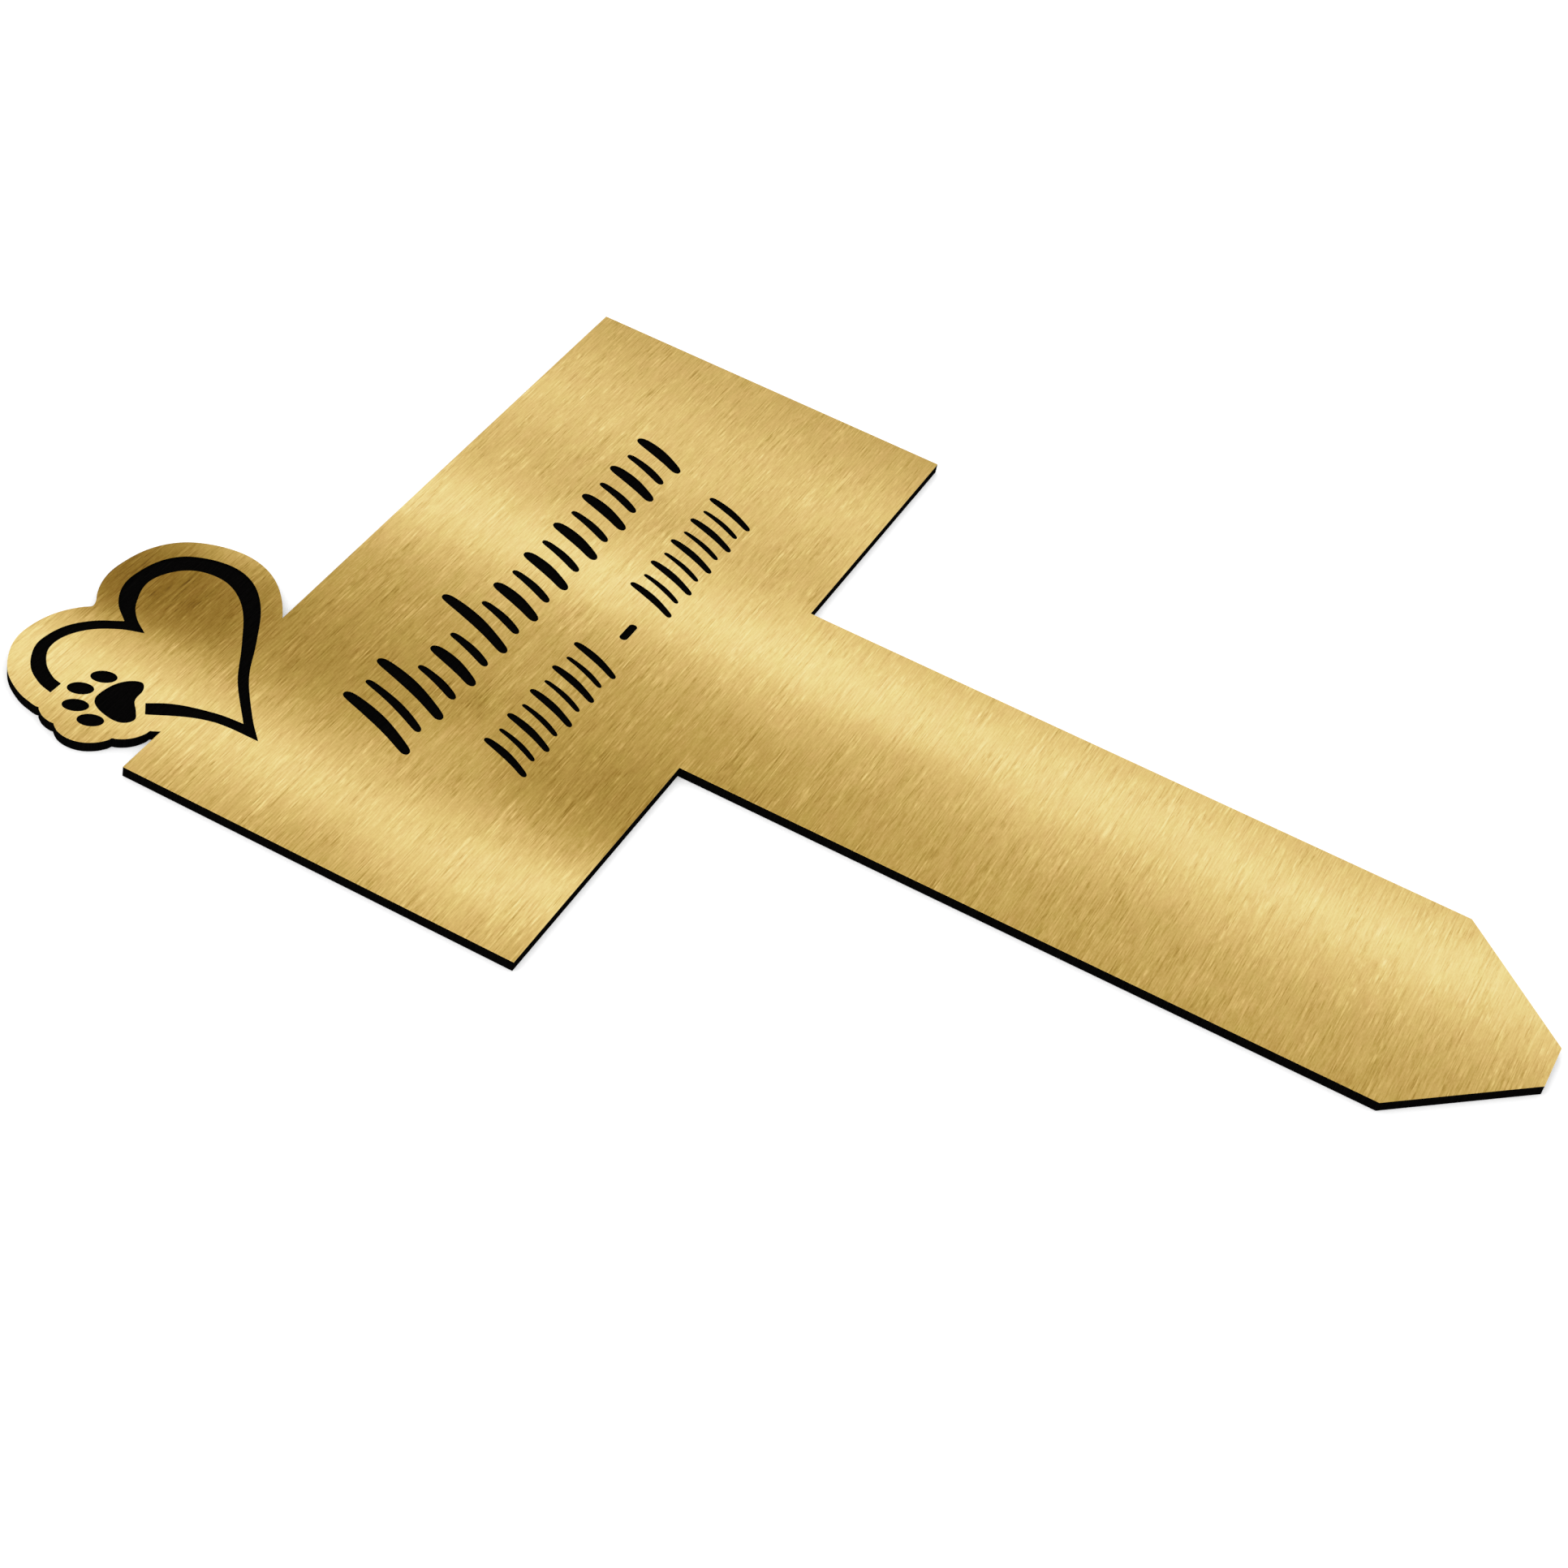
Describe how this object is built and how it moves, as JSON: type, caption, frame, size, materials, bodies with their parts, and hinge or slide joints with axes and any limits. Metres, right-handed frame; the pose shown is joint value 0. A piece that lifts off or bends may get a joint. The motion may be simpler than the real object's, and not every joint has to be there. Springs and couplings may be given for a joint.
{
  "type": "pet memorial stake",
  "caption": "Flat T-shaped memorial stake: a wide plate with a heart and paw head at one corner and rows of engraved strokes, on a tapered blade that goes into the ground.",
  "frame": {"origin": "on the back face, at the middle of the plate's lower edge, where the blade leaves the plate", "axes": "+X along the rows of strokes, away from the heart's end; +Y from the blade's tip to the plate's top edge; +Z out of the gold face, so the stake lies on its back"},
  "size_m": [0.16, 0.2515, 0.002],
  "materials": {
    "gold_laminate": "two-ply engraving laminate: brushed gold metallised face with the brush lines along X, black core showing at the cut edges, on the back and in the engraving"
  },
  "bodies": {
    "root": {"memorial_stake": "gold_laminate"}
  },
  "joints": []
}
